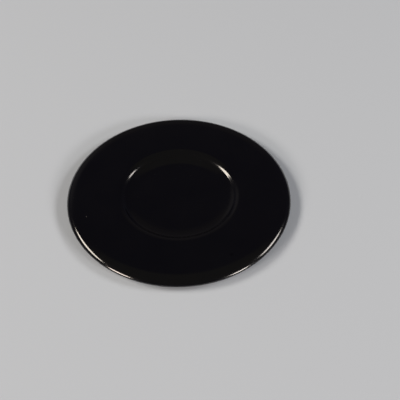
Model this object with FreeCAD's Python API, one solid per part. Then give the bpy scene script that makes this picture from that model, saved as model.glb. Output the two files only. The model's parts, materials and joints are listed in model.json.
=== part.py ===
import FreeCAD, Part
import math
import os

# A gas burner cap of enamelled steel, in millimetres and degrees. It is one pressing of even thickness: a shallow
# dish, a flat ring round it and a turned-down rim. The ring rests on the burner head, and the dish drops into the
# head's opening and so keeps the cap in the middle.
# The cap is round about Z, and the underside of its dish stands on z = 0.

# Whole cap
CAP_DIAMETER = 90.0
WALL = 1.8

# Dish: a rounded shoulder at its mouth, then a wider hollow down to its flat floor
DISH_MOUTH_DIAMETER = 50.6
DISH_FLOOR_DIAMETER = 36.6
DISH_DEPTH = 2.6
DISH_SHOULDER_WIDTH = 2.7

# Rim: a slow curve down from the flat ring, then a tighter one that ends in a full round edge
CROWN_RADIUS = 14.0
CROWN_ANGLE = 12.0
RIM_RADIUS = 3.5
RIM_ANGLE = 50.0

# Directions in the half section, as tilts from straight up towards the outside
UP = 0.0
OUTWARD = math.pi / 2
DOWN = math.pi
FULL_TURN = 360.0

# Shortest flat stretch that is drawn as an edge of its own
LEAST_STRETCH = 1e-6


def place(r, z):
    """Point of the half section at radius r and height z."""
    return FreeCAD.Vector(r, 0, z)


def along(centre, radius, tilt):
    """Point at a radius from a centre. A radius below zero lies on the far side of the centre."""
    return centre + place(math.sin(tilt), math.cos(tilt)) * radius


def arc(centre, radius, first_tilt, last_tilt):
    """Arc about a centre, from one tilt to another."""
    tilts = (first_tilt, (first_tilt + last_tilt) / 2, last_tilt)
    return Part.Arc(*[along(centre, radius, tilt) for tilt in tilts]).toShape()


def line(first, last):
    """Straight edge between two points."""
    return Part.LineSegment(first, last).toShape()


def wall_bends():
    """Bends of the cap's top from the axis out, each as a centre, a radius and its first and last tilt.

    Flat stretches join them. The radius is below zero where the top is hollow, so a surface at any depth in the
    wall has the same centres and tilts, with the depth taken off every radius.
    """
    mouth_r = DISH_MOUTH_DIAMETER / 2
    floor_r = DISH_FLOOR_DIAMETER / 2
    top_z = WALL + DISH_DEPTH
    dish_tilt = 2 * math.atan(DISH_DEPTH / (mouth_r - floor_r))
    shoulder_radius = DISH_SHOULDER_WIDTH / math.sin(dish_tilt)
    hollow_radius = (mouth_r - floor_r - DISH_SHOULDER_WIDTH) / math.sin(dish_tilt)
    hollow = place(floor_r, WALL + hollow_radius)
    shoulder = place(mouth_r, top_z - shoulder_radius)

    crown_tilt = math.radians(CROWN_ANGLE)
    rim_tilt = math.radians(RIM_ANGLE)
    crown_reach = (CROWN_RADIUS - RIM_RADIUS) * math.sin(crown_tilt)
    rim_reach = (RIM_RADIUS - WALL / 2) * math.sin(rim_tilt)
    flat_r = CAP_DIAMETER / 2 - WALL / 2 - rim_reach - crown_reach
    crown = place(flat_r, top_z - CROWN_RADIUS)
    rim = along(crown, CROWN_RADIUS - RIM_RADIUS, crown_tilt)
    return [
        (hollow, -hollow_radius, UP, -dish_tilt),
        (shoulder, shoulder_radius, -dish_tilt, UP),
        (crown, CROWN_RADIUS, UP, crown_tilt),
        (rim, RIM_RADIUS, crown_tilt, rim_tilt),
    ]


def wall_line(depth):
    """Edges of the surface that lies this deep in the wall, from the axis out to the rim's round edge."""
    edges = []
    here = place(0, WALL - depth)
    for centre, radius, first_tilt, last_tilt in wall_bends():
        start = along(centre, radius - depth, first_tilt)
        if here.distanceToPoint(start) > LEAST_STRETCH:
            edges.append(line(here, start))
        edges.append(arc(centre, radius - depth, first_tilt, last_tilt))
        here = along(centre, radius - depth, last_tilt)
    return edges


def rim_edge():
    """Edges of the full round that closes the wall at the rim, split where it is widest and lowest."""
    rim, rim_radius, _, rim_tilt = wall_bends()[-1]
    centre = along(rim, rim_radius - WALL / 2, rim_tilt)
    tilts = (rim_tilt, OUTWARD, DOWN, DOWN + rim_tilt)
    return [arc(centre, WALL / 2, first, last) for first, last in zip(tilts, tilts[1:])]


def make_cap():
    """Whole cap, turned about its axis from one closed half section."""
    top = wall_line(0)
    underside = wall_line(WALL)
    axis_line = line(place(0, WALL), place(0, 0))
    section = Part.Wire(Part.__sortEdges__(top + rim_edge() + underside + [axis_line]))
    return Part.Face(section).revolve(FreeCAD.Vector(0, 0, 0), FreeCAD.Vector(0, 0, 1), FULL_TURN)


os.makedirs("parts", exist_ok=True)
make_cap().exportStep("parts/burner_cap.step")
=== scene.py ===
import json
import math

import bpy
import numpy as np
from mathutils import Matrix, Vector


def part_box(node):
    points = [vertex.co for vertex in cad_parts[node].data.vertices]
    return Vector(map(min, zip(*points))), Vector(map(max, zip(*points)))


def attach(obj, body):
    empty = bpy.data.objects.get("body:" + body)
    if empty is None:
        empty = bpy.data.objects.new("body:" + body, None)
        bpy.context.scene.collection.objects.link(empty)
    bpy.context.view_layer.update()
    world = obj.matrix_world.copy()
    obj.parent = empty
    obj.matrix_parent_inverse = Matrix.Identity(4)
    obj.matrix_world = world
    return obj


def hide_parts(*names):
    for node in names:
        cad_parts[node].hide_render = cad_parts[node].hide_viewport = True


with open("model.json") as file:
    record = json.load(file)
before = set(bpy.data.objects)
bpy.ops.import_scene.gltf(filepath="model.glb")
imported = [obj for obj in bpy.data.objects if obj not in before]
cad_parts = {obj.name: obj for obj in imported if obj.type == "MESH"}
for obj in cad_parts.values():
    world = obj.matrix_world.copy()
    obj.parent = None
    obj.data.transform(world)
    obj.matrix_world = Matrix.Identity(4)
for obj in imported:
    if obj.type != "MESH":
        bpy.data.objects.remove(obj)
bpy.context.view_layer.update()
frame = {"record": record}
bpy.context.scene.view_settings.view_transform = "Standard"

# The cap is one pressing of steel sheet: a shallow dish, a flat ring round it and a turned-down rim.
# The sheet keeps one thickness, so the underside follows the top, and the cap stands on its dish.
# Its black enamel runs before firing, and sets as a bead on the rim's edge and a pool round the dish floor.
MM = 0.001
UP = 0.0
DOWN = math.pi

cap_low, cap_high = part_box("burner_cap")
mounts = {mount["name"]: mount for mount in frame["record"]["mounts"]}
CAP_RADIUS = cap_high.x
CAP_HEIGHT = cap_high.z
DISH_DEPTH = mounts["seat"]["pos_m"][2] - cap_low.z
WALL = CAP_HEIGHT - DISH_DEPTH

DISH_MOUTH_RADIUS = 25.3 * MM
DISH_FLOOR_RADIUS = 18.3 * MM
DISH_SHOULDER_WIDTH = 2.7 * MM

CROWN_RADIUS = 14.0 * MM
CROWN_TILT = math.radians(12)
RIM_RADIUS = 3.5 * MM
RIM_TILT = math.radians(50)

BEAD_HEIGHT = 0.07 * MM
BEAD_TILT = math.radians(80)
BEAD_SPREAD = math.radians(8)
BEAD_REACH = 3 * BEAD_SPREAD

POOL_START = 15.8 * MM
POOL_END = 22.2 * MM
POOL_DEPTH = 0.20 * MM
POOL_CREST = 0.6

FLAT_STEP = 2.5 * MM
POOL_RINGS = 16
DISH_BEND_RINGS = 24
CROWN_RINGS = 14
RIM_RINGS = 26
EDGE_START_RINGS = 8
BEAD_RINGS = 44
EDGE_END_RINGS = 16
TURN_STEPS = 360


def bend(centre, radius, tilts):
    """Arc of the half section: centre + radius (sin tilt, cos tilt).

    Tilts run from straight up towards the outside. A radius below zero makes the arc hollow. The radius may
    also be one value for each tilt.
    """
    return np.array(centre) + np.stack([np.sin(tilts), np.cos(tilts)], axis=-1) * np.reshape(radius, (-1, 1))


def flat(first_r, last_r, z):
    """Level stretch of the half section between two radii, in steps of about FLAT_STEP, without its ends."""
    steps = max(2, round(abs(last_r - first_r) / FLAT_STEP))
    r = np.linspace(first_r, last_r, steps + 1)[1:-1]
    return np.stack([r, np.full_like(r, z)], axis=-1)


def edge_radius(tilts):
    """Radius of the rim's round edge: half the wall, less a shallow dip that leaves the bead standing.

    dip = height sin^2(pi share) (1 - exp(-((tilt - bead tilt) / spread)^2)), where share runs from 0 to 1
    round the edge.
    """
    share = (tilts - RIM_TILT) / DOWN
    bead = np.exp(-(((tilts - BEAD_TILT) / BEAD_SPREAD) ** 2))
    return WALL / 2 - BEAD_HEIGHT * np.sin(np.pi * share) ** 2 * (1 - bead)


def with_pool(dish):
    """Top of the dish with the enamel that ran down its wall and set at the foot.

    height = depth (share / crest)^3 ((1 - share) / (1 - crest))^2, where share runs from 0 to 1 across the
    pool and the crest is the share at which it is deepest.
    """
    r, z = dish.T
    share = np.clip((r - POOL_START) / (POOL_END - POOL_START), 0, 1)
    height = POOL_DEPTH * (share / POOL_CREST) ** 3 * ((1 - share) / (1 - POOL_CREST)) ** 2
    return np.stack([r, z + height], axis=-1)


def cap_section():
    """Half section of the cap, from the axis on top, round the rim, to the axis underneath.

    The underside has the bends of the top with the wall taken off every radius. Also gives how much of the
    gloss coat each place has: all of it on top, none under the wall.
    """
    dish_tilt = 2 * math.atan(DISH_DEPTH / (DISH_MOUTH_RADIUS - DISH_FLOOR_RADIUS))
    shoulder_radius = DISH_SHOULDER_WIDTH / math.sin(dish_tilt)
    hollow_radius = (DISH_MOUTH_RADIUS - DISH_FLOOR_RADIUS - DISH_SHOULDER_WIDTH) / math.sin(dish_tilt)
    hollow = (DISH_FLOOR_RADIUS, WALL + hollow_radius)
    shoulder = (DISH_MOUTH_RADIUS, CAP_HEIGHT - shoulder_radius)

    crown_reach = (CROWN_RADIUS - RIM_RADIUS) * math.sin(CROWN_TILT)
    rim_reach = (RIM_RADIUS - WALL / 2) * math.sin(RIM_TILT)
    flat_r = CAP_RADIUS - WALL / 2 - rim_reach - crown_reach
    crown = (flat_r, CAP_HEIGHT - CROWN_RADIUS)
    rim = bend(crown, CROWN_RADIUS - RIM_RADIUS, [CROWN_TILT])[0]
    edge = bend(rim, RIM_RADIUS - WALL / 2, [RIM_TILT])[0]

    pool_r = np.linspace(POOL_START, DISH_FLOOR_RADIUS, POOL_RINGS)[:-1]
    hollow_tilts = np.linspace(UP, -dish_tilt, DISH_BEND_RINGS)
    shoulder_tilts = np.linspace(-dish_tilt, UP, DISH_BEND_RINGS)
    crown_tilts = np.linspace(UP, CROWN_TILT, CROWN_RINGS)
    rim_tilts = np.linspace(CROWN_TILT, RIM_TILT, RIM_RINGS)
    bead_tilts = np.linspace(BEAD_TILT - BEAD_REACH, BEAD_TILT + BEAD_REACH, BEAD_RINGS)
    edge_tilts = np.concatenate([
        np.linspace(RIM_TILT, bead_tilts[0], EDGE_START_RINGS)[:-1],
        bead_tilts,
        np.linspace(bead_tilts[-1], DOWN + RIM_TILT, EDGE_END_RINGS)[1:],
    ])

    dish = np.concatenate([
        [(0.0, WALL)],
        flat(0.0, POOL_START, WALL),
        np.stack([pool_r, np.full_like(pool_r, WALL)], axis=-1),
        bend(hollow, -hollow_radius, hollow_tilts[:-1]),
        bend(shoulder, shoulder_radius, shoulder_tilts),
    ])
    top = np.concatenate([
        with_pool(dish),
        flat(DISH_MOUTH_RADIUS, flat_r, CAP_HEIGHT),
        bend(crown, CROWN_RADIUS, crown_tilts[:-1]),
        bend(rim, RIM_RADIUS, rim_tilts[:-1]),
    ])
    round_edge = bend(edge, edge_radius(edge_tilts), edge_tilts)
    underside = np.concatenate([
        bend(rim, RIM_RADIUS - WALL, rim_tilts[-2::-1]),
        bend(crown, CROWN_RADIUS - WALL, crown_tilts[-2::-1]),
        flat(flat_r, DISH_MOUTH_RADIUS, DISH_DEPTH),
        bend(shoulder, shoulder_radius - WALL, shoulder_tilts[::-1]),
        bend(hollow, -hollow_radius - WALL, hollow_tilts[-2::-1]),
        flat(DISH_FLOOR_RADIUS, 0.0, 0.0),
        [(0.0, 0.0)],
    ])
    gloss = np.concatenate([
        np.ones(len(top)),
        np.clip((DOWN + RIM_TILT - edge_tilts) / (DOWN / 2), 0, 1),
        np.zeros(len(underside)),
    ])
    return np.concatenate([top, round_edge, underside]), gloss


def turned(name, section, steps):
    """Closed mesh of a half section turned about Z: (r cos a, r sin a, z), with the angle a in equal steps.

    The section starts and ends on the axis. Each end is one point, with triangles to the ring beside it.
    """
    angle = np.arange(steps) * (2 * np.pi / steps)
    r, z = section[1:-1].T
    rings = np.stack([
        np.outer(r, np.cos(angle)),
        np.outer(r, np.sin(angle)),
        np.broadcast_to(z[:, None], (len(z), steps)),
    ], axis=-1)
    points = np.concatenate([[(0, 0, section[0, 1])], rings.reshape(-1, 3), [(0, 0, section[-1, 1])]])
    here = 1 + np.arange(r.size * steps).reshape(r.size, steps)
    beside = np.roll(here, -1, axis=1)
    quads = np.stack([here[:-1], here[1:], beside[1:], beside[:-1]], axis=-1).reshape(-1, 4)
    top_fan = np.stack([np.zeros(steps, int), here[0], beside[0]], axis=-1)
    low_fan = np.stack([np.full(steps, len(points) - 1), beside[-1], here[-1]], axis=-1)
    mesh = bpy.data.meshes.new(name)
    mesh.from_pydata(points.tolist(), [], quads.tolist() + top_fan.tolist() + low_fan.tolist())
    mesh.shade_smooth()
    return mesh


section, gloss = cap_section()
cap_mesh = turned("enamelled_cap", section, TURN_STEPS)
point_gloss = np.concatenate([gloss[:1], np.repeat(gloss[1:-1], TURN_STEPS), gloss[-1:]])
gloss_coat = cap_mesh.attributes.new("gloss_coat", "FLOAT", "POINT")
gloss_coat.data.foreach_set("value", point_gloss)

GLOSS_DEEP = (0.0010, 0.0010, 0.0016, 1.0)
GLOSS_LIGHT = (0.0022, 0.0021, 0.0028, 1.0)
GROUND_COAT = (0.0075, 0.0072, 0.0078, 1.0)
GLOSS_LEAST_ROUGH = 0.10
GLOSS_MOST_ROUGH = 0.15
GROUND_ROUGH = 0.42
ENAMEL_IOR = 1.52

FLOW_SCALE = 70.0
FLOW_LOW = 0.25
FLOW_HIGH = 0.75
PEEL_SCALE = 420.0
PEEL_HEIGHT = 0.003 * MM

PINHOLE = (0.14, 0.13, 0.13, 1.0)
PINHOLE_PLACE = (-36.55 * MM, -11.42 * MM, CAP_HEIGHT)
PINHOLE_RADIUS = 0.13 * MM
FLECK = (0.0001, 0.0001, 0.0001, 1.0)
FLECK_PLACE = (19.09 * MM, -32.25 * MM, CAP_HEIGHT)
FLECK_RADIUS = 0.50 * MM


def socket(sockets, name):
    """The socket with this identifier, or else with this name."""
    return next((one for one in sockets if one.identifier == name), None) or sockets[name]


def node(tree, kind, output, inputs=None, **settings):
    """Adds a node with these settings and gives its output, or the node itself where that is None.

    An input takes a value, or a link where the value is a socket.
    """
    made = tree.nodes.new(kind)
    for name, value in settings.items():
        setattr(made, name, value)
    for name, value in (inputs or {}).items():
        if isinstance(value, bpy.types.NodeSocket):
            tree.links.new(value, socket(made.inputs, name))
        else:
            socket(made.inputs, name).default_value = value
    return socket(made.outputs, output) if output else made


def ramp(tree, value, first, last, first_result, last_result):
    """Value carried smoothly from one range to another, and held at its ends."""
    return node(tree, "ShaderNodeMapRange", "Result", {
        "Value": value,
        "From Min": first,
        "From Max": last,
        "To Min": first_result,
        "To Max": last_result,
    }, interpolation_type="SMOOTHSTEP")


def mixed(tree, share, first, last):
    """Colour between two colours, by a share from 0 to 1."""
    colours = {"Factor_Float": share, "A_Color": first, "B_Color": last}
    return node(tree, "ShaderNodeMix", "Result_Color", colours, data_type="RGBA")


def spot(tree, place, centre, radius):
    """Round mask about a place on the piece: 1 in its middle, half at the radius, 0 past twice the radius."""
    ends = {"Vector": place, "Vector_001": centre}
    gap = node(tree, "ShaderNodeVectorMath", "Value", ends, operation="DISTANCE")
    return ramp(tree, gap, 0.0, 2 * radius, 1.0, 0.0)


def black_enamel():
    """Black vitreous enamel: a deep gloss coat on top, and the duller ground coat alone under the cap.

    The gloss coat flowed a little as it was fired, so its tone and gloss drift slowly, and its skin has a
    faint orange peel. One pinhole shows the pale ground, and one fleck is darker than the rest.
    """
    material = bpy.data.materials.new("black_enamel")
    material.use_nodes = True
    tree = material.node_tree
    tree.nodes.clear()
    place = node(tree, "ShaderNodeTexCoord", "Object")
    coat = node(tree, "ShaderNodeAttribute", "Fac", attribute_name="gloss_coat")

    flow = node(tree, "ShaderNodeTexNoise", "Fac", {"Vector": place, "Scale": FLOW_SCALE, "Detail": 2.0})
    peel = node(tree, "ShaderNodeTexNoise", "Fac", {"Vector": place, "Scale": PEEL_SCALE, "Detail": 1.0})
    pinhole = spot(tree, place, PINHOLE_PLACE, PINHOLE_RADIUS)
    fleck = spot(tree, place, FLECK_PLACE, FLECK_RADIUS)

    gloss_tone = mixed(tree, flow, GLOSS_DEEP, GLOSS_LIGHT)
    coat_tone = mixed(tree, coat, GROUND_COAT, gloss_tone)
    flecked_tone = mixed(tree, fleck, coat_tone, FLECK)
    tone = mixed(tree, pinhole, flecked_tone, PINHOLE)
    gloss_rough = ramp(tree, flow, FLOW_LOW, FLOW_HIGH, GLOSS_LEAST_ROUGH, GLOSS_MOST_ROUGH)
    coats = {"Factor_Float": coat, "A_Float": GROUND_ROUGH, "B_Float": gloss_rough}
    rough = node(tree, "ShaderNodeMix", "Result_Float", coats)
    skin = {"Height": peel, "Strength": 1.0, "Distance": PEEL_HEIGHT}
    normal = node(tree, "ShaderNodeBump", "Normal", skin)
    shader = node(tree, "ShaderNodeBsdfPrincipled", "BSDF", {
        "Base Color": tone,
        "Roughness": rough,
        "Normal": normal,
        "IOR": ENAMEL_IOR,
    })
    node(tree, "ShaderNodeOutputMaterial", None, {"Surface": shader})
    return material


cap_mesh.materials.append(black_enamel())
cap = bpy.data.objects.new("enamelled_cap", cap_mesh)
bpy.context.scene.collection.objects.link(cap)
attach(cap, "root")
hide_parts("burner_cap")

# The floor is one plain pale sheet, matt all over, that the cap stands on.
# It is wide enough to pass under the lamps and to fill the picture from every side.
FLOOR_REACH = 6.0
FLOOR_COLOUR = (0.58, 0.64, 0.71, 1.0)
FLOOR_ROUGH = 0.9
FLOOR_SHINE = 0.1

floor_mesh = bpy.data.meshes.new("floor")
floor_corners = [(x * FLOOR_REACH, y * FLOOR_REACH, 0.0) for x, y in ((-1, -1), (1, -1), (1, 1), (-1, 1))]
floor_mesh.from_pydata(floor_corners, [], [(0, 1, 2, 3)])
floor_material = bpy.data.materials.new("pale_sheet")
floor_material.use_nodes = True
sheet = floor_material.node_tree.nodes["Principled BSDF"]
sheet.inputs["Base Color"].default_value = FLOOR_COLOUR
sheet.inputs["Roughness"].default_value = FLOOR_ROUGH
sheet.inputs["Specular IOR Level"].default_value = FLOOR_SHINE
floor_mesh.materials.append(floor_material)
floor = bpy.data.objects.new("floor", floor_mesh)
bpy.context.scene.collection.objects.link(floor)

# Four soft boxes light the cap, two on each side: larger ones beside it and smaller, lower ones in front.
# Each is a wide, low oval that faces the cap from two metres away.
LAMP_DISTANCE = 2.0


def direction(azimuth, elevation):
    """Unit vector (cos rise cos turn, cos rise sin turn, sin rise).

    The turn is the azimuth, from +X towards +Y, and the rise is the elevation, both given in degrees.
    """
    turn, rise = np.radians([azimuth, elevation])
    return np.array([math.cos(rise) * math.cos(turn), math.cos(rise) * math.sin(turn), math.sin(rise)])


def soft_box(name, azimuth, elevation, width, height, strength, colour):
    """Oval lamp, as wide and high as these angles seen from the cap.

    Its strength is the light on a surface at the cap that faces it, so its power is strength pi distance^2.
    """
    light = bpy.data.lights.new(name, "AREA")
    light.shape = "ELLIPSE"
    light.size = 2 * LAMP_DISTANCE * math.tan(math.radians(width / 2))
    light.size_y = 2 * LAMP_DISTANCE * math.tan(math.radians(height / 2))
    light.energy = strength * math.pi * LAMP_DISTANCE ** 2
    light.color = colour
    holder = bpy.data.objects.new(name, light)
    holder.location = direction(azimuth, elevation) * LAMP_DISTANCE
    holder.rotation_euler = (math.radians(90 - elevation), 0.0, math.radians(90 + azimuth))
    bpy.context.scene.collection.objects.link(holder)


soft_box(
    "left_back", azimuth=175, elevation=33.5, width=33, height=12,
    strength=1.95, colour=(1.0, 0.90, 0.78),
)
soft_box(
    "left_front", azimuth=216, elevation=22, width=20, height=11,
    strength=1.42, colour=(1.0, 0.86, 0.76),
)
soft_box(
    "right_back", azimuth=1, elevation=31, width=26, height=12,
    strength=1.16, colour=(1.0, 0.93, 0.87),
)
soft_box(
    "right_front", azimuth=320, elevation=20, width=18, height=10,
    strength=1.32, colour=(1.0, 0.91, 0.85),
)

# The room round the lamps is dim and a little blue.
# Its ceiling is lighter, from overhead to behind the camera, and so are the far wall and its left corner.
ROOM_COLOUR = (0.045, 0.043, 0.060)

world = bpy.data.worlds.new("room")
world.use_nodes = True
bpy.context.scene.world = world
room = world.node_tree
towards = node(room, "ShaderNodeTexCoord", "Generated")


def glow(light, azimuth, elevation, core, reach, colour):
    """The room's light with a round patch of colour added to it.

    The patch is even out to the core and gone at the reach, both in degrees from its middle.
    """
    turned_to = {"Vector": towards, "Vector_001": direction(azimuth, elevation)}
    nearness = node(room, "ShaderNodeVectorMath", "Value", turned_to, operation="DOT_PRODUCT")
    share = ramp(room, nearness, math.cos(math.radians(reach)), math.cos(math.radians(core)), 0.0, 1.0)
    parts = {"Vector": share, "Vector_001": colour, "Vector_002": light}
    return node(room, "ShaderNodeVectorMath", "Vector", parts, operation="MULTIPLY_ADD")


with_ceiling = glow(
    ROOM_COLOUR, azimuth=270, elevation=74, core=42.5, reach=48.5, colour=(0.044, 0.042, 0.018),
)
with_far_wall = glow(
    with_ceiling, azimuth=90, elevation=20, core=17, reach=25, colour=(0.022, 0.018, 0.007),
)
with_left_corner = glow(
    with_far_wall, azimuth=122, elevation=26, core=5, reach=18, colour=(0.080, 0.074, 0.068),
)
room.links.new(with_left_corner, room.nodes["Background"].inputs["Color"])

# The camera looks down on the cap from the front, from about a third of a metre away.
# It is turned a little to the right, so the cap lies left of the middle of the picture.
CAMERA_DISTANCE = 320 * MM
CAMERA_ELEVATION = math.radians(47.67)
CAMERA_TILT = math.radians(48.24)
CAMERA_TURN = math.radians(2.25)
CAMERA_LENS = 71.55
CAMERA_NEAR = 1 * MM

camera = bpy.data.objects.new("camera", bpy.data.cameras.new("camera"))
camera.location = (
    0.0,
    -CAMERA_DISTANCE * math.cos(CAMERA_ELEVATION),
    CAP_HEIGHT + CAMERA_DISTANCE * math.sin(CAMERA_ELEVATION),
)
camera.rotation_euler = (math.pi / 2 - CAMERA_TILT, 0.0, -CAMERA_TURN)
camera.data.lens = CAMERA_LENS
camera.data.clip_start = CAMERA_NEAR
bpy.context.scene.collection.objects.link(camera)
bpy.context.scene.camera = camera
